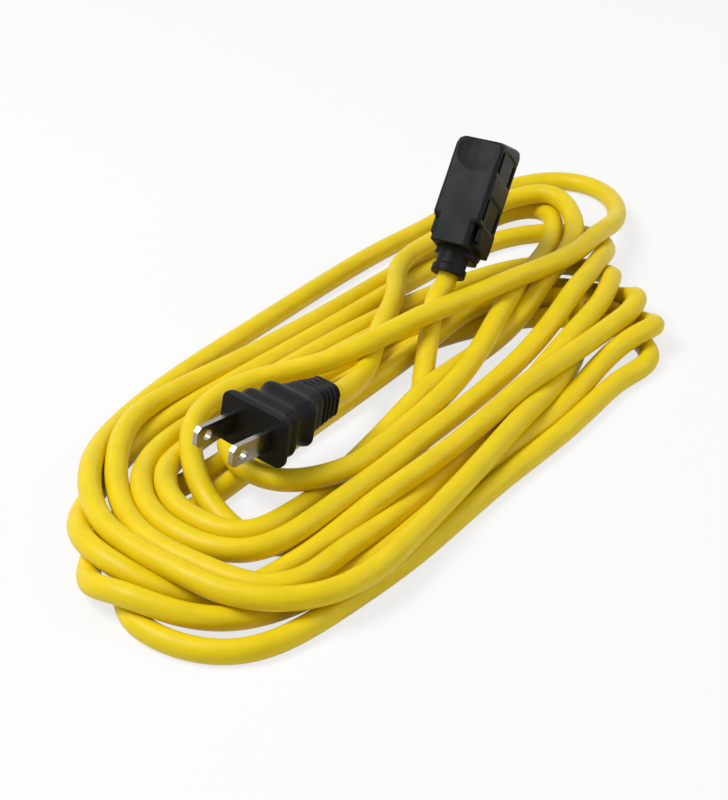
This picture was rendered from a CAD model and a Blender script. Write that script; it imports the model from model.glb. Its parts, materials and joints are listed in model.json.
import json
import math
import bpy
import numpy as np
from mathutils import Matrix, Vector

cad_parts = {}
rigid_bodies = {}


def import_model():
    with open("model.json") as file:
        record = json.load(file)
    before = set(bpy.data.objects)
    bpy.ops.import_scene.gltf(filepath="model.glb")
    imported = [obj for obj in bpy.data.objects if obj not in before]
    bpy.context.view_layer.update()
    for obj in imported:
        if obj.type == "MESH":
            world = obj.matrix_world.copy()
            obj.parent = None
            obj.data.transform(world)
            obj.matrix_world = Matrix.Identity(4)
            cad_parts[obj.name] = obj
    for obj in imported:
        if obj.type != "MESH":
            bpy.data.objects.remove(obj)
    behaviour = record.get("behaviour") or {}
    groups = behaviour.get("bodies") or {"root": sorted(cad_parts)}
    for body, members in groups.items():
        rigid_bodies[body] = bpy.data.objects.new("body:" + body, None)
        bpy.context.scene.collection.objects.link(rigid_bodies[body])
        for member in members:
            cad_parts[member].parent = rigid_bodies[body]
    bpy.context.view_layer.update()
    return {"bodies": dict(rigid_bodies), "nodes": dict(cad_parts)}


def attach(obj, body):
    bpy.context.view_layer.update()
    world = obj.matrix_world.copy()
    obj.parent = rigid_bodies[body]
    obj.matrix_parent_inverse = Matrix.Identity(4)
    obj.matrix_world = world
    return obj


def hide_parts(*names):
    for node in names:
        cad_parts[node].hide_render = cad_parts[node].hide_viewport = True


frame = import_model()
scene = bpy.context.scene
scene.view_settings.view_transform = "Standard"

# ---- sizes and places shared with the part's source, in its millimetres and before centring ----
MM = 1000.0
CORD_D = 6.6
LAY_GAP = 1.7                # room left between two passes of the cord while it settles
REST_Z = CORD_D * 0.4        # height of the cord's centre where it lies on the floor
CENTRE = np.array([30.2, 4.6, 0.0])
BLADE_PITCH = 12.7
PLUG_L, BOOT_L = 19.0, 13.5
JACKET_BACK = 8.0            # the jacket reaches this far into the boot
BLOCK_L, BLOCK_W, BLOCK_H = 37.5, 16.5, 18.0
COLLAR_L, COLLAR_D = 8.0, 10.0
JACKET_IN = 2.5              # the jacket reaches this far into the collar
PLUG_PLACE = np.array([-48.0, 2.0, 25.2])
PLUG_ROLL, PLUG_DROOP, PLUG_YAW = (math.radians(v) for v in (3, 10, -1))
BLOCK_PLACE = np.array([59.7, 12.1, 20.5])
BLOCK_RISE, BLOCK_YAW = math.radians(44), math.radians(11)


def turned(roll, droop, yaw):
    return Matrix.Rotation(yaw, 4, "Z") @ Matrix.Rotation(droop, 4, "Y") @ Matrix.Rotation(roll, 4, "X")


def axis_of(droop, yaw):
    """Way that a housing's own X axis points."""
    return np.array([math.cos(droop) * math.cos(yaw), math.cos(droop) * math.sin(yaw), -math.sin(droop)])


PLUG_AXIS = axis_of(PLUG_DROOP, PLUG_YAW)
BLOCK_AXIS = axis_of(-BLOCK_RISE, BLOCK_YAW)


# ---- camera: high three-quarter view along the coil ----
PHOTO_W = 728.0              # the photo's width and the lens, in its pixels
FOCAL = 1800.0
FILM_W = 36.0
CAMERA_ELEVATION, CAMERA_AZIMUTH, CAMERA_DISTANCE = math.radians(34), math.radians(-53), 0.528
CAMERA_TARGET = Vector((-0.0302, -0.0046, 0.010))


def make_camera():
    level = math.cos(CAMERA_ELEVATION)
    away = Vector((math.sin(CAMERA_AZIMUTH) * level, -math.cos(CAMERA_AZIMUTH) * level,
                   math.sin(CAMERA_ELEVATION)))
    data = bpy.data.cameras.new("view_camera")
    cam = bpy.data.objects.new("view_camera", data)
    scene.collection.objects.link(cam)
    cam.location = CAMERA_TARGET + away * CAMERA_DISTANCE
    cam.rotation_euler = (-away).to_track_quat("-Z", "Y").to_euler()
    data.sensor_fit = "HORIZONTAL"
    data.sensor_width = FILM_W
    data.lens = FOCAL / PHOTO_W * FILM_W
    data.clip_start, data.clip_end = 0.01, 20.0
    scene.camera = cam


make_camera()

# ---- the cord's route, as the part's source lays it ----
# each turn's right, front, left and back points in plan; then, for the same four points,
# how high each lies in layers, and how square the quarter that leads to it is drawn
FIRST_POINT, FIRST_LAYER = [72, 41], 3
TURNS = [
    [[141, 29], [-50, -19], [-73, 4], [-30, 28.5]],
    [[104, -20], [82, -40], [-99, 4], [-25, 50.5]],
    [[138, 8], [0, -30], [-81, -1], [-35, 36]],
    [[119, -10], [-68, -44.5], [-94, -12], [-25, 43.5]],
    [[131, 18], [-14, -23], [-45, 4], [-15, 23]],
    [[100, -26], [78, -46], [-106, 4], [-55, 21]],
    [[93, -31], [72, -52], [-107, -14], [-60, 12]],
    [[86, -12], [-40, -44.5], [-93, 4], [10, 58.5]]]
LAYERS = [
    [3, 2, 2.6, 2],
    [0.6, 3.5, 2.2, 1.5],
    [1, 4, 3, 2.5],
    [1.4, 2.2, 5, 4],
    [2, 4, 1.5, 1],
    [0.6, 0.8, 0.5, 0.5],
    [0.4, 0, 0, 0.4],
    [0.8, 1.4, 3.5, 2.5]]
CORNERS = [
    [2.8, 2, 2.2, 2.2],
    [2.2, 2.2, 3.6, 2],
    [2.2, 2.1, 3.7, 2.1],
    [2.2, 2, 2.2, 2.2],
    [2.3, 2, 2.4, 2.4],
    [2.3, 2.2, 3.2, 2.6],
    [2.3, 2.2, 3.5, 2.4],
    [3, 2.3, 3, 2.3]]
# places where a turn is drawn aside: turn, station along it, shift in plan
SHIFTS = [
    [0, 5, -7, -4], [0, 7.5, 0, -4], [0, 9.5, 2, 5], [0, 11.5, 1, 3], [0, 15, -3, -3],
    [4, 5, 6, 4], [4, 7, 2, 4], [4, 9, 2, 5], [4, 11, 0, 2], [4, 17, -3, -2],
    [2, 16, 4, 4], [2, 13.5, 3, 7], [2, 11, 3, 6],
    [3, 13, 2, 2], [3, 10.5, 4, 7], [3, 18, 4, 1], [3, 20, 1, -3], [3, 23.5, -3, 8],
    [1, 0, 0, 2], [1, 16, 4, 4], [1, 14, 1, 1], [2, 2, -4, -6],
    [5, 13, 2, 7], [5, 22, 2, 8], [6, 13.5, 3, 6],
    [7, 13, -2, -4], [7, 20, 0, -3]]
SHIFT_REACH = 2.0            # stations to each side that a shift takes along
PLUG_LEAD = [PLUG_PLACE + PLUG_AXIS * (PLUG_L + BOOT_L - JACKET_BACK),
             PLUG_PLACE + PLUG_AXIS * (PLUG_L + BOOT_L),
             [-7, 2.5, 18.5], [4, 6, 17], [17, 12, 15.5], [36, 22, 14], [57, 31, 13]]
CONNECTOR_LEAD = [
    [30, 58.5, 2.6], [50, 58.5, 2.6], [70, 58, 2.6], [90, 56.5, 2.6],
    [108, 54, 2.6], [125, 53, 2.6], [143, 50, 2.6], [159, 43, 3], [168, 31, 12],
    [166, 17, 15], [156, 6, 19], [140, -3, 23], [124, -7, 26], [108, -9, 28],
    [92, -8.5, 28], [76, -5, 27], [60, -1, 26], [44, 4, 25], [28, 9, 25],
    [12, 14, 25], [-2, 23, 25], [-12, 31, 25], [-25, 35, 24], [-41, 32, 22],
    [-52, 23, 18], [-60, 12, 14], [-64, 0, 8], [-64, -11, 5], [-59, -20, 3],
    [-47, -27, 2.6], [-30, -29, 2.6], [-14, -27, 2.6], [2, -20, 2.6],
    [14, -12, 2.6], [26, -4, 4], [38, 4, 6], [46.5, 9, 8], [51.5, 11.8, 12.5],
    BLOCK_PLACE + BLOCK_AXIS * (JACKET_IN - 1.1 * CORD_D), BLOCK_PLACE + BLOCK_AXIS * JACKET_IN]
FINE, PER_QUARTER = 40, 6    # steps that draw a quarter turn, and stations kept of it
BEND_ROOM = 25.0             # extra length that a right-angled bend counts for, to draw stations to it
RISE = 4.8                   # height of a layer before the cord settles
STATIONS = 4 * PER_QUARTER


def quarter(a, b, flat_start, n, layer_a, layer_b):
    """Quarter of a squarish oval from a to b, in stations; flat_start where it leaves along X."""
    v = np.radians(90 * np.arange(FINE + 1) / FINE)
    c, s = np.cos(v).clip(0) ** (2 / n), np.sin(v).clip(0) ** (2 / n)
    if flat_start:
        p = np.c_[a[0] + (b[0] - a[0]) * s, b[1] + (a[1] - b[1]) * c]
    else:
        p = np.c_[b[0] + (a[0] - b[0]) * c, a[1] + (b[1] - a[1]) * s]
    d = np.diff(p, axis=0)
    across = d[:-1, 0] * d[1:, 1] - d[:-1, 1] * d[1:, 0]
    bend = np.abs(np.degrees(np.arctan2(across, (d[:-1] * d[1:]).sum(1)))) / 90
    run = np.r_[0, np.cumsum(np.hypot(*d.T) + BEND_ROOM * np.r_[0, bend])]
    w = np.arange(PER_QUARTER) / PER_QUARTER
    return np.c_[np.interp(w * run[-1], run, p[:, 0]), np.interp(w * run[-1], run, p[:, 1]),
                 REST_Z + RISE * (layer_a + (layer_b - layer_a) * w)]


def first_route():
    """The cord before it settles: the lead from the plug, the eight turns, the lead to the block."""
    quarters = []
    last, layer = FIRST_POINT, FIRST_LAYER
    for turn, layers, corners in zip(TURNS, LAYERS, CORNERS):
        for k in range(4):
            quarters.append(quarter(last, turn[k], k % 2 == 0, corners[k], layer, layers[k]))
            last, layer = turn[k], layers[k]
    coil = np.concatenate(quarters + [np.array([[last[0], last[1], REST_Z + RISE * layer]])])
    for turn, station, dx, dy in SHIFTS:
        w = np.exp(-((np.arange(len(coil)) - STATIONS * turn - station) / SHIFT_REACH) ** 2)
        coil[:, 0] += dx * w
        coil[:, 1] += dy * w
    return np.concatenate([np.array(PLUG_LEAD, float), coil, np.array(CONNECTOR_LEAD, float)])


PASS = CORD_D + LAY_GAP      # between the centres of two passes while the cord settles
SAME_STRAND = 4              # segments nearer than this along the cord don't push each other
PAIR_BOX, PAIR_REACH = 34.0, 10.0


def foot(p, a, b):
    """Place along a-b that lies nearest to p, and its distance, in plan."""
    d = b - a
    t = np.clip(((p - a) * d).sum(-1) / np.maximum((d * d).sum(-1), 1e-4), 0, 1)
    return t, np.linalg.norm(p - a - t[..., None] * d, axis=-1)


def find_pairs(p, h):
    """Segments that cross or lie close in plan: where they meet, and which one lies on top."""
    f = p[:, :2]
    mid = (f[:-1] + f[1:]) / 2
    near = (np.abs(mid[:, None] - mid[None]) < PAIR_BOX).all(-1)
    i, j = np.nonzero(near)
    i, j = i[j - i >= SAME_STRAND], j[j - i >= SAME_STRAND]
    a, b, c, d = f[i], f[i + 1], f[j], f[j + 1]
    e, g, w = b - a, d - c, c - a
    cr = e[:, 0] * g[:, 1] - e[:, 1] * g[:, 0]
    safe = np.where(cr == 0, 1, cr)
    s = np.where(cr == 0, -1, (w[:, 0] * g[:, 1] - w[:, 1] * g[:, 0]) / safe)
    t = np.where(cr == 0, -1, (w[:, 0] * e[:, 1] - w[:, 1] * e[:, 0]) / safe)
    cross = (s >= 0) & (s <= 1) & (t >= 0) & (t <= 1)
    feet = [foot(a, c, d), foot(b, c, d), foot(c, a, b), foot(d, a, b)]
    dist = np.stack([far for _, far in feet])
    pick = dist.argmin(0)
    one, zero = np.ones(len(i)), np.zeros(len(i))
    s = np.where(cross, s, np.choose(pick, [zero, one, feet[2][0], feet[3][0]]))
    t = np.where(cross, t, np.choose(pick, [feet[0][0], feet[1][0], zero, one]))
    gap = np.where(cross, 0, dist.min(0))
    keep = gap < PAIR_REACH
    i, j, s, t, cross = i[keep], j[keep], s[keep], t[keep], gap[keep] < 1e-4
    side = np.sign(h[i] * (1 - s) + h[i + 1] * s - h[j] * (1 - t) - h[j + 1] * t)
    return i, j, s, t, cross, side


def part_away(p, pairs, gap, gain, held):
    """Push the two strands of each pair apart, or up and down where they cross."""
    i, j, s, t, cross, side = pairs
    v = p[i] * (1 - s)[:, None] + p[i + 1] * s[:, None] - p[j] * (1 - t)[:, None] - p[j + 1] * t[:, None]
    up = v[:, 2] * side
    w = np.where(cross[:, None], np.c_[0 * up, 0 * up, side * np.maximum(up, 0.01)], v)
    lack = gap - np.where(cross, up, np.linalg.norm(v, axis=1))
    u = w / np.maximum(np.linalg.norm(w, axis=1), 0.01)[:, None]
    on = lack > 0
    shift, weight = np.zeros_like(p), np.zeros(len(p))
    for k, part, sign in ((i, 1 - s, 1), (i + 1, s, 1), (j, 1 - t, -1), (j + 1, t, -1)):
        # the upper strand takes most of an upward push
        push = sign * u * (lack * (0.5 + sign * 0.4 * u[:, 2]) * part)[:, None]
        np.add.at(shift, k[on], push[on])
        np.add.at(weight, k[on], part[on])
    out = p + gain * shift / np.maximum(1, weight)[:, None]
    out[:, 2] = np.maximum(REST_Z, out[:, 2])
    out[held] = p[held]
    return out


DROP_EASE, DROP_KEEP, SAG_EASE, SINK = 0.3, 0.97, 0.4, 0.4


def drop(p, p0, held):
    """Ease the cord's shift from its first route in plan, and let it sag and sink."""
    d = p - p0
    out = p.copy()
    e = (d[:-2] + d[2:]) / 2 - d[1:-1]
    out[1:-1, :2] = p0[1:-1, :2] + DROP_KEEP * (d[1:-1, :2] + DROP_EASE * e[:, :2])
    out[1:-1, 2] = p[1:-1, 2] + SAG_EASE * ((p[:-2, 2] + p[2:, 2]) / 2 - p[1:-1, 2]) - SINK
    out[:, 2] = np.maximum(REST_Z, out[:, 2])
    out[held] = p[held]
    return out


STAGES, DROPS, HARD_DROPS, PUSHES, PUSH_GAIN = 4, 20, 60, 2, 1.5


def settled_route():
    """The cord's stations once it lies on the floor and on itself; its two ends are held."""
    p0 = first_route()
    p, h = p0.copy(), p0[:, 2]
    held = np.zeros(len(p), bool)
    held[:2] = held[-2:] = True
    for stage in range(STAGES):
        pairs = find_pairs(p, h)
        for n in range(DROPS + (HARD_DROPS if stage == STAGES - 1 else 0)):
            if n < DROPS:
                p = drop(p, p0, held)
            for _ in range(PUSHES):
                p = part_away(p, pairs, PASS, PUSH_GAIN, held)
    return p


# ---- the cord as it is seen: the settled route in short steps, drawn tight and smooth ----
def spline(p, step):
    """Smooth curve through the points in equal steps; columns after the third ride along."""
    t = np.r_[0, np.cumsum(np.linalg.norm(np.diff(p[:, :3], axis=0), axis=1) ** 0.8)]
    h = np.diff(t)
    n = len(p)
    a = np.zeros((n, n))
    b = np.zeros(p.shape)
    a[0, 0] = a[-1, -1] = 1
    for k in range(1, n - 1):
        a[k, k - 1:k + 2] = h[k - 1], 2 * (h[k - 1] + h[k]), h[k]
        b[k] = 6 * ((p[k + 1] - p[k]) / h[k] - (p[k] - p[k - 1]) / h[k - 1])
    m = np.linalg.solve(a, b)
    fine = []
    for k in range(n - 1):
        x = np.linspace(0, h[k], 24, endpoint=False)[:, None]
        r = h[k] - x
        fine.append(m[k] * r ** 3 / (6 * h[k]) + m[k + 1] * x ** 3 / (6 * h[k])
                    + (p[k] / h[k] - m[k] * h[k] / 6) * r
                    + (p[k + 1] / h[k] - m[k + 1] * h[k] / 6) * x)
    fine = np.concatenate(fine + [p[-1:]])
    d = np.r_[0, np.cumsum(np.linalg.norm(np.diff(fine[:, :3], axis=0), axis=1))]
    s = np.linspace(0, d[-1], int(round(d[-1] / step)) + 1)
    return np.stack([np.interp(s, d, fine[:, k]) for k in range(p.shape[1])], 1)


def eased(v, times):
    """Each value drawn towards its two neighbours; the ends stay."""
    for _ in range(times):
        v = np.concatenate([v[:1], (v[:-2] + 2 * v[1:-1] + v[2:]) / 4, v[-1:]])
    return v


LAY_STEP, TOUCH = 5.0, CORD_D + 0.15
LAY_SAG = 0.6                # how far each height is drawn to the eased one in a round
HELD_START, HELD_END = 4, 2  # stations that stay, so that the ends enter the plug and the block
SAME_RUN = 6                 # stations nearer than this along the cord don't push each other
PAIRS_EVERY, PAIRS_MARGIN = 5, 4.0
# rounds, share of the shift from the goal kept, its easing, sinking, pushes in a round,
# gain of the eased push, its easing, gain of the plain push
LAY_PHASES = [
    (180, 0.99, 2, 0.09, 2, 2.0, 6, 0.0),
    (80, 0.99, 2, 0.03, 2, 1.2, 6, 0.4),
    (40, 1.0, 1, 0.0, 6, 1.6, 3, 0.0)]


def laid_route():
    """The settled route in short steps, drawn tight and smooth, passes just touching."""
    rows = spline(np.c_[settled_route(), first_route()[:, :2]], LAY_STEP)
    x, goal = rows[:, :3].copy(), eased(rows[:, 3:], 2)
    held = np.zeros(len(x), bool)
    held[:HELD_START] = held[-HELD_END:] = True
    start = x.copy()
    for rounds, keep, ease, sink, pushes, gain, spread, plain in LAY_PHASES:
        for n in range(rounds):
            if n % PAIRS_EVERY == 0:
                i, j = np.nonzero(np.linalg.norm(x[:, None] - x[None], axis=2) < TOUCH + PAIRS_MARGIN)
                i, j = i[j - i >= SAME_RUN], j[j - i >= SAME_RUN]
            x[:, :2] = goal + keep * eased(x[:, :2] - goal, ease)
            x[:, 2] = (1 - LAY_SAG) * x[:, 2] + LAY_SAG * eased(x[:, 2], 2) - sink
            for _ in range(pushes):
                v = x[i] - x[j]
                dist = np.linalg.norm(v, axis=1)
                on = dist < TOUCH
                push = v[on] * ((TOUCH / dist[on] - 1) / 2)[:, None]
                shift, weight = np.zeros_like(x), np.zeros(len(x))
                for k, sign in ((i[on], 1), (j[on], -1)):
                    np.add.at(shift, k, sign * push)
                    np.add.at(weight, k, 1)
                shift /= np.maximum(1, weight)[:, None]
                x = x + gain * eased(shift, spread) + plain * shift
                x[:, 2] = np.maximum(x[:, 2], REST_Z)
                x[held] = start[held]
    return x


PATH_STEP = 2.0
CORD_PATH = spline(laid_route(), PATH_STEP)
CORD_PATH[:, 2] = np.maximum(CORD_PATH[:, 2], REST_Z)


def link(name, mesh):
    """Object of the mesh, in the scene."""
    o = bpy.data.objects.new(name, mesh)
    scene.collection.objects.link(o)
    return o


CORD_SIDES = 16


def tube(name, path, radius, sides):
    """Mesh tube along the path, flat where it meets the floor; UV goes once round it and, along
    it, in metres."""
    t = np.gradient(path, axis=0)
    t /= np.linalg.norm(t, axis=1)[:, None]
    u = np.zeros_like(path)
    side = np.cross(t[0], [0, 0, 1.0])
    u[0] = side / np.linalg.norm(side)
    for k in range(1, len(path)):
        v = u[k - 1] - t[k] * (u[k - 1] @ t[k])
        u[k] = v / np.linalg.norm(v)
    w = np.cross(t, u)
    a = np.radians(360 * np.arange(sides) / sides)
    ring = np.cos(a)[None, :, None] * u[:, None] + np.sin(a)[None, :, None] * w[:, None]
    pts = (path[:, None] + radius * ring).reshape(-1, 3)
    pts[:, 2] = np.maximum(pts[:, 2], 0)
    pts = (pts - CENTRE) / MM
    n = len(path)
    faces, uvs = [], []
    length = np.r_[0, np.cumsum(np.linalg.norm(np.diff(path, axis=0), axis=1))] / MM
    for i in range(n - 1):
        for k in range(sides):
            m = (k + 1) % sides
            faces.append((i * sides + k, i * sides + m, (i + 1) * sides + m, (i + 1) * sides + k))
            uvs += [(k / sides, length[i]), ((k + 1) / sides, length[i]),
                    ((k + 1) / sides, length[i + 1]), (k / sides, length[i + 1])]
    for base, order in ((0, range(sides - 1, -1, -1)), ((n - 1) * sides, range(sides))):
        faces.append(tuple(base + k for k in order))
        uvs += [(0, 0)] * sides
    mesh = bpy.data.meshes.new(name)
    mesh.from_pydata(pts.tolist(), [], faces)
    layer = mesh.uv_layers.new(name="run")
    layer.data.foreach_set("uv", np.array(uvs).ravel())
    mesh.polygons.foreach_set("use_smooth", [True] * len(mesh.polygons))
    return link(name, mesh)


# ---- materials ----
def material(name, color, rough, spec=0.5, metal=0.0):
    """New Principled material, its node tree and its shader."""
    mat = bpy.data.materials.new(name)
    mat.use_nodes = True
    nt = mat.node_tree
    bsdf = nt.nodes["Principled BSDF"]
    bsdf.inputs["Base Color"].default_value = (*color, 1)
    bsdf.inputs["Roughness"].default_value = rough
    bsdf.inputs["Metallic"].default_value = metal
    bsdf.inputs["Specular IOR Level"].default_value = spec
    return mat, nt, bsdf


def noise(nt, scale, detail=4, vector=None):
    """Noise over the object's own coordinates, or over the given vector."""
    tex = nt.nodes.new("ShaderNodeTexNoise")
    tex.inputs["Scale"].default_value = scale
    tex.inputs["Detail"].default_value = detail
    if vector is None:
        vector = nt.nodes.new("ShaderNodeTexCoord").outputs["Object"]
    nt.links.new(vector, tex.inputs["Vector"])
    return tex.outputs["Fac"]


def ramp(nt, source, low, high, start=0.3, end=0.7):
    """Colour or grey that goes from low to high as the source goes from start to end."""
    node = nt.nodes.new("ShaderNodeValToRGB")
    nt.links.new(source, node.inputs["Fac"])
    for stop, place, value in zip(node.color_ramp.elements, (start, end), (low, high)):
        stop.position = place
        stop.color = (*value, 1) if isinstance(value, tuple) else (value, value, value, 1)
    return node.outputs["Color"]


def bump(nt, bsdf, source, strength, distance, chain=None):
    """Bump on the shader, on top of the bump in chain if there is one."""
    b = nt.nodes.new("ShaderNodeBump")
    b.inputs["Strength"].default_value = strength
    b.inputs["Distance"].default_value = distance
    nt.links.new(source, b.inputs["Height"])
    if chain is not None:
        nt.links.new(chain.outputs["Normal"], b.inputs["Normal"])
    nt.links.new(b.outputs["Normal"], bsdf.inputs["Normal"])
    return b


def jacket_material():
    """Yellow PVC: streaks along the cord, a fine grain, and patches of more and less gloss."""
    mat, nt, bsdf = material("yellow_jacket", (0.775, 0.575, 0.005), 0.42, 0.24)
    uv = nt.nodes.new("ShaderNodeUVMap")
    uv.uv_map = "run"
    scale = nt.nodes.new("ShaderNodeMapping")
    scale.inputs["Scale"].default_value = (3, 60, 1)
    nt.links.new(uv.outputs["UV"], scale.inputs["Vector"])
    tone = noise(nt, 2.0, 3, scale.outputs["Vector"])
    nt.links.new(ramp(nt, tone, (0.74, 0.54, 0.004), (0.81, 0.61, 0.006)), bsdf.inputs["Base Color"])
    grain = bump(nt, bsdf, noise(nt, 900, 3), 0.08, 0.0002)
    bump(nt, bsdf, tone, 0.25, 0.0004, grain)
    nt.links.new(ramp(nt, noise(nt, 220, 3), 0.36, 0.5), bsdf.inputs["Roughness"])
    return mat


def black_material(name):
    """Black PVC with a fine moulded grain and soft unevenness."""
    mat, nt, bsdf = material(name, (0.0065, 0.0070, 0.0076), 0.45, 0.11)
    wide = noise(nt, 120, 3)
    nt.links.new(ramp(nt, wide, 0.4, 0.52), bsdf.inputs["Roughness"])
    grain = bump(nt, bsdf, noise(nt, 1400, 3), 0.15, 0.0002)
    bump(nt, bsdf, wide, 0.1, 0.0005, grain)
    return mat


def metal_material(name, color, rough):
    """Stamped metal with faint rolling marks."""
    mat, nt, bsdf = material(name, color, rough, 0.5, 1.0)
    fine = noise(nt, 500, 4)
    nt.links.new(ramp(nt, fine, rough * 0.8, rough * 1.3, 0.35), bsdf.inputs["Roughness"])
    bump(nt, bsdf, fine, 0.1, 0.0001)
    return mat


def plain_material(name, color, rough):
    """Matt plastic of the inner pieces."""
    mat, nt, bsdf = material(name, color, rough)
    bump(nt, bsdf, noise(nt, 600, 3), 0.12, 0.0002)
    return mat


JACKET = jacket_material()
BLACK_PLUG = black_material("plug_pvc")
BLACK_BLOCK = black_material("block_pvc")
NICKEL = metal_material("nickel_plate", (0.36, 0.345, 0.32), 0.2)
BRASS = metal_material("contact_brass", (0.66, 0.47, 0.18), 0.35)
COPPER = metal_material("copper", (0.72, 0.33, 0.18), 0.4)
GREY = plain_material("carrier_grey", (0.25, 0.25, 0.26), 0.55)
WIRE_BLACK = plain_material("wire_black", (0.015, 0.015, 0.015), 0.5)
WIRE_WHITE = plain_material("wire_white", (0.72, 0.72, 0.69), 0.5)
NODE_MATERIALS = {
    "cord_": JACKET, "plug_body": BLACK_PLUG, "plug_carrier": GREY, "plug_blade": NICKEL,
    "plug_core": COPPER, "plug_wire_line": WIRE_BLACK, "plug_wire_neutral": WIRE_WHITE,
    "connector_body": BLACK_BLOCK, "connector_carrier": GREY, "bus_": BRASS, "contact_": BRASS,
    "connector_core": COPPER, "connector_wire_line": WIRE_BLACK, "connector_wire_neutral": WIRE_WHITE}
for node_name, node_object in frame["nodes"].items():
    mat = next(m for start, m in NODE_MATERIALS.items() if node_name.startswith(start))
    node_object.data.materials.clear()
    node_object.data.materials.append(mat)

BODY = next(iter(frame["bodies"]))

# ---- the cord ----
cord = tube("cord", CORD_PATH, CORD_D / 2, CORD_SIDES)
cord.data.materials.append(JACKET)
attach(cord, BODY)
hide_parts("cord_coil", "cord_plug_lead", "cord_connector_lead")


# ---- moulded housings: forms joined, cut, and drawn to one skin with soft edges ----
SOFT_ROUNDS = 3              # times that the skin is smoothed
OVERLAP = 1.0                # forms that join reach this far into each other


def round_rect(w, h, r, steps=8):
    """Ring of Y and Z round a rectangle with rounded corners."""
    quads = ((1, 1), (-1, 1), (-1, -1), (1, -1))
    a = [math.radians(90 * (q + i / steps)) for q in range(4) for i in range(steps + 1)]
    c = [(y * (w / 2 - r), z * (h / 2 - r)) for y, z in quads for _ in range(steps + 1)]
    return np.array([(y + r * math.cos(v), z + r * math.sin(v)) for v, (y, z) in zip(a, c)])


def skin(rings):
    """Closed mesh through rings (place along X, ring of Y and Z, lean), in part millimetres."""
    n = len(rings[0][1])
    pts = [((x - sum(lean) * z) / MM, y / MM, z / MM) for x, ring, *lean in rings for y, z in ring]
    faces = [tuple(range(n - 1, -1, -1)), tuple((len(rings) - 1) * n + k for k in range(n))]
    for i in range(len(rings) - 1):
        for k in range(n):
            m = (k + 1) % n
            faces.append((i * n + k, i * n + m, (i + 1) * n + m, (i + 1) * n + k))
    mesh = bpy.data.meshes.new("form")
    mesh.from_pydata(pts, [], faces)
    return link("form", mesh)


def bar(x0, x1, w, h, r, y=0.0, z=0.0):
    """Bar along X with rounded edges."""
    ring = round_rect(w, h, r) + (y, z)
    return skin([(x0, ring), (x1, ring)])


def rod(x0, x1, d):
    """Round rod along X; its corners fall just short of meeting, so that no points coincide."""
    return bar(x0, x1, d, d, d / 2 - 0.001)


def ball(centre, radius):
    """Round cutter, its poles along X."""
    unit = round_rect(2, 2, 0.999, 16)
    return skin([(centre[0] - radius * math.cos(v), radius * math.sin(v) * unit + (centre[1], centre[2]))
                 for v in np.radians(np.linspace(4, 176, 48))])


def housing(name, joined, cut, place, turn, voxel):
    """Join the first forms, cut the others out, draw a skin with soft edges over it and place it."""
    base = joined[0]
    for other in joined[1:] + cut:
        m = base.modifiers.new("join", "BOOLEAN")
        m.operation = "DIFFERENCE" if other in cut else "UNION"
        m.object = other
    m = base.modifiers.new("skin", "REMESH")
    m.mode, m.voxel_size, m.use_smooth_shade = "VOXEL", voxel / MM, True
    m = base.modifiers.new("soften", "SMOOTH")
    m.factor, m.iterations = 0.5, SOFT_ROUNDS
    bpy.context.view_layer.update()
    mesh = bpy.data.meshes.new_from_object(base.evaluated_get(bpy.context.evaluated_depsgraph_get()))
    for o in joined + cut:
        bpy.data.objects.remove(o)
    mesh.name = name
    mesh.transform(Matrix.Translation(Vector((place - CENTRE) / MM)) @ turn)
    return link(name, mesh)


# ---- plug: flange at the face, waist, grip ridge, ribbed boot ----
PLUG_FORM = [  # place along, width, height, corner radius
    [0, 22.9, 14.9, 2.3], [0.5, 23.5, 15.5, 2.6], [1.9, 23.5, 15.5, 2.8], [3.7, 19.4, 14.4, 3.0],
    [7.0, 20.0, 15.0, 3.2], [10.8, 17.4, 12.6, 4.2], [15.2, 19.6, 14.4, 3.4], [18.4, 14.6, 12.9, 3.6],
    [20.5, 13.0, 12.8, 3.2], [31.6, 10.8, 10.8, 3.0], [32.5, 9.4, 9.4, 2.8]]
PLUG_END, RING_STEP = PLUG_L + BOOT_L, 0.25
GROOVES, LAST_GROOVE, GROOVE_STEP, GROOVE_HALF = 4, 30.65, 2.25, 0.5
GROOVE_SHARE = 1.1 / 6       # share of the boot's section that a groove draws in
# the grooves fade at a spine above and a spine below: degrees from the Y axis, reach, share
SPINE_AT, SPINE_REACH, SPINE_FADE = 72, 24, 0.85
PLUG_HOLE_D = CORD_D + 0.3
PLUG_VOXEL = 0.2
BLADE_EDGE = 0.18


def plug_rings():
    """Rings of the plug: eased between the table's sections, drawn in at the boot's grooves."""
    keys = np.array(PLUG_FORM)
    rings = []
    for x in np.arange(0, PLUG_END + 0.01, RING_STEP):
        k = min(np.searchsorted(keys[:, 0], x, side="right") - 1, len(keys) - 2)
        t = (x - keys[k, 0]) / (keys[k + 1, 0] - keys[k, 0])
        w, h, r = (keys[k] + (keys[k + 1] - keys[k]) * t * t * (3 - 2 * t))[1:]
        ring = round_rect(w, h, r)
        dip = sum(math.exp(-((x - LAST_GROOVE + GROOVE_STEP * g) / GROOVE_HALF) ** 2)
                  for g in range(GROOVES))
        angle = np.degrees(np.arctan2(ring[:, 1], ring[:, 0]))
        spine = np.exp(-((np.abs(angle) - SPINE_AT) / SPINE_REACH) ** 2)
        ring *= (1 - GROOVE_SHARE * dip * (1 - SPINE_FADE * spine))[:, None]
        rings.append((x, ring))
    return rings


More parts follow.
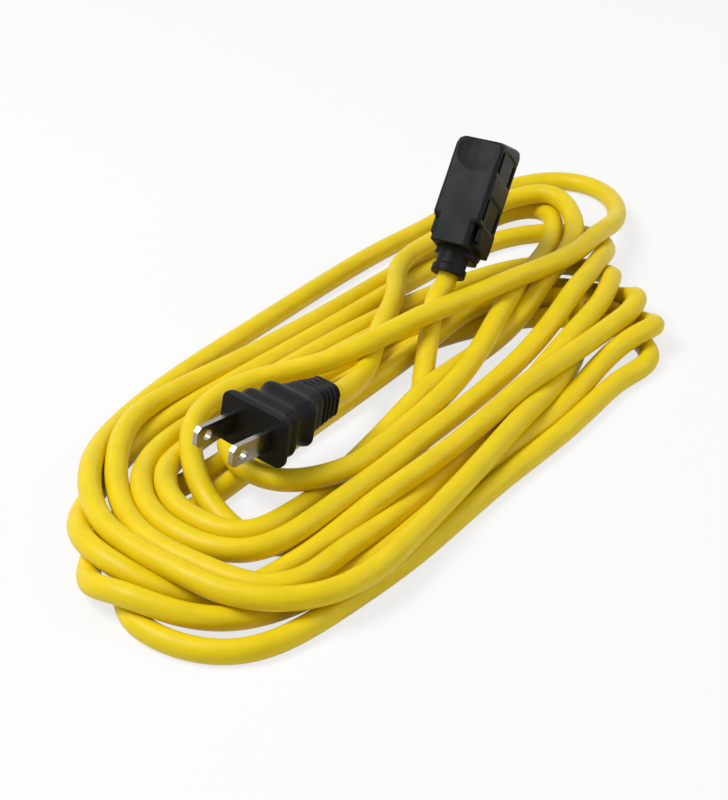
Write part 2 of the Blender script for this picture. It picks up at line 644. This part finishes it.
plug = housing("plug_moulding", [skin(plug_rings())],
               [rod(PLUG_END - JACKET_BACK, PLUG_END + 1.5, PLUG_HOLE_D)],
               PLUG_PLACE, turned(PLUG_ROLL, PLUG_DROOP, PLUG_YAW), PLUG_VOXEL)
plug.data.materials.append(BLACK_PLUG)
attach(plug, BODY)
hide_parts("plug_body")
for name in ("plug_blade_line", "plug_blade_neutral"):
    edge = frame["nodes"][name].modifiers.new("edge", "BEVEL")
    edge.width, edge.segments, edge.limit_method = BLADE_EDGE / MM, 2, "ANGLE"

# ---- outlet block: collar, neck with lower flanks, body with slots in both sides ----
FAR_X = COLLAR_L + BLOCK_L
FIRST_OUTLET, OUTLET_STEP, OUTLET_SIDES = FAR_X - 24.0, 8.0, (-1, 1, -1)
BODY_X = FIRST_OUTLET - 5.0
END_LEAN = 4.5               # how far the far end leans, over the height of the block
BODY_FORM = [  # place along, how far the sides draw in, share of the lean
    [BODY_X - 0.4, 0.5, 0], [BODY_X + 0.8, 0, 0],
    [FAR_X - 2.8, 0, 1], [FAR_X - 0.9, 0.5, 1], [FAR_X, 1.7, 1]]
TOP_SHARE = 0.6              # how far the top and the bottom draw in, against the sides
BODY_R, EDGE_R = 1.6, 1.3
NECK_W = 12.0
FLANK_X, FLANK_DROP = COLLAR_L + 1.5, 5.0
STEP_X, STEP_W, STEP_H, STEP_R, STEP_Z = (COLLAR_L - 1.8, COLLAR_L + 2), 12.4, 12.0, 3.0, -2.6
RIM_L, RIM_D = 2.6, COLLAR_D + 1.2
WING_X, WING_T, WING_R, WING_DROP = COLLAR_L + 3.2, 1.7, 0.7, 3.4
BLOCK_HOLE_D, BLOCK_HOLE_L = CORD_D + 0.4, 4.5
DISH_X, DISH_R, DISH_DEEP = FAR_X - 6.0, 28.9, 0.9
SLOT_L, SLOT_T, SLOT_R, SLOT_DEEP = 7.0, 2.0, 0.3, 4.0
RECESS_L, RECESS_H, RECESS_R, RECESS_DEEP = 9.2, 16.2, 0.4, 0.45
BLOCK_VOXEL = 0.24


def block_forms():
    """Leaning body, neck, lower flanks, step from neck to collar, collar with its rim, two wings."""
    body = skin([(x, round_rect(BLOCK_W - 2 * e, BLOCK_H - 2 * TOP_SHARE * e, BODY_R),
                  lean * END_LEAN / BLOCK_H) for x, e, lean in BODY_FORM])
    neck_end = BODY_X + OVERLAP
    forms = [body, bar(COLLAR_L, neck_end, NECK_W, BLOCK_H, EDGE_R),
             bar(FLANK_X, neck_end, BLOCK_W, BLOCK_H - FLANK_DROP, EDGE_R, z=-FLANK_DROP / 2),
             bar(*STEP_X, STEP_W, STEP_H, STEP_R, z=STEP_Z),
             rod(0.4, COLLAR_L + OVERLAP, COLLAR_D), rod(0, RIM_L, RIM_D)]
    for side in (-1, 1):
        forms.append(bar(WING_X, neck_end, WING_T, BLOCK_H - WING_DROP, WING_R,
                         y=side * (BLOCK_W - WING_T) / 2, z=-WING_DROP / 2))
    return forms


def block_cuts():
    """Hole for the jacket, shallow dish in the top, and two slots and a recess for each outlet."""
    cuts = [rod(-OVERLAP, BLOCK_HOLE_L, BLOCK_HOLE_D),
            ball((DISH_X, 0, BLOCK_H / 2 + DISH_R - DISH_DEEP), DISH_R)]
    for k, side in enumerate(OUTLET_SIDES):
        x, y = FIRST_OUTLET + k * OUTLET_STEP, side * BLOCK_W / 2
        for z in (-BLADE_PITCH / 2, BLADE_PITCH / 2):
            cuts.append(bar(x - SLOT_L / 2, x + SLOT_L / 2, 2 * SLOT_DEEP, SLOT_T, SLOT_R, y, z))
        cuts.append(bar(x - RECESS_L / 2, x + RECESS_L / 2, 2 * RECESS_DEEP, RECESS_H, RECESS_R, y))
    return cuts


block = housing("connector_moulding", block_forms(), block_cuts(), BLOCK_PLACE,
                turned(0, -BLOCK_RISE, BLOCK_YAW), BLOCK_VOXEL)
block.data.materials.append(BLACK_BLOCK)
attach(block, BODY)
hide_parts("connector_body")


# ---- floor, backdrop and light ----
FLOOR_HALF, FLOOR_GREY = 6.0, 0.8    # half its width in metres, and its shade
GLOW_SHARE = 0.75            # share of plain white in the floor as the camera sees it
WORLD_LIGHT = 0.31
LIGHT_AIM = Vector((0, 0, 0.01))
LIGHTS = [  # name, place and side in metres, power
    ["key", (-0.5, 0.5, 1.1), 0.6, 14],
    ["fill", (0.6, -0.9, 0.8), 0.9, 4.5]]


def seen_directly(nt):
    """1 for camera, glossy and transmission rays, 0 for the rays that light the object."""
    path = nt.nodes.new("ShaderNodeLightPath")
    value = path.outputs["Is Camera Ray"]
    for ray in ("Is Glossy Ray", "Is Transmission Ray"):
        either = nt.nodes.new("ShaderNodeMath")
        either.operation = "MAXIMUM"
        nt.links.new(value, either.inputs[0])
        nt.links.new(path.outputs[ray], either.inputs[1])
        value = either.outputs[0]
    return value


def white(nt, kind, strength):
    """White glow of the given kind of shader."""
    node = nt.nodes.new(kind)
    node.inputs["Color"].default_value = (1, 1, 1, 1)
    node.inputs["Strength"].default_value = strength
    return node.outputs[0]


def mixed(nt, share, low, high, out):
    """Mix of two shaders as the tree's surface."""
    mix = nt.nodes.new("ShaderNodeMixShader")
    nt.links.new(share, mix.inputs["Fac"])
    nt.links.new(low, mix.inputs[1])
    nt.links.new(high, mix.inputs[2])
    nt.links.new(mix.outputs[0], nt.nodes.new(out).inputs["Surface"])


def make_floor():
    """Floor that takes the shadows, and looks nearly white to the camera."""
    mesh = bpy.data.meshes.new("floor")
    s = FLOOR_HALF
    mesh.from_pydata([(-s, -s, 0), (s, -s, 0), (s, s, 0), (-s, s, 0)], [], [(0, 1, 2, 3)])
    floor = link("floor", mesh)
    mat = bpy.data.materials.new("floor_white")
    mat.use_nodes = True
    nt = mat.node_tree
    nt.nodes.clear()
    shade = nt.nodes.new("ShaderNodeBsdfDiffuse")
    shade.inputs["Color"].default_value = (FLOOR_GREY, FLOOR_GREY, FLOOR_GREY, 1)
    share = nt.nodes.new("ShaderNodeMath")
    share.operation = "MULTIPLY"
    share.inputs[1].default_value = GLOW_SHARE
    nt.links.new(seen_directly(nt), share.inputs[0])
    mixed(nt, share.outputs[0], shade.outputs[0], white(nt, "ShaderNodeEmission", 1.0),
          "ShaderNodeOutputMaterial")
    floor.data.materials.append(mat)


def make_world():
    """White behind the object, and an even, weaker light on it."""
    world = bpy.data.worlds.new("studio")
    scene.world = world
    world.use_nodes = True
    nt = world.node_tree
    nt.nodes.clear()
    mixed(nt, seen_directly(nt), white(nt, "ShaderNodeBackground", WORLD_LIGHT),
          white(nt, "ShaderNodeBackground", 1.0), "ShaderNodeOutputWorld")


def area_light(name, place, side, power):
    """Square light that faces the object."""
    data = bpy.data.lights.new(name, "AREA")
    data.shape = "SQUARE"
    data.size = side
    data.energy = power
    o = bpy.data.objects.new(name, data)
    scene.collection.objects.link(o)
    o.location = place
    o.rotation_euler = (LIGHT_AIM - Vector(place)).to_track_quat("-Z", "Y").to_euler()


make_floor()
make_world()
for light in LIGHTS:
    area_light(*light)
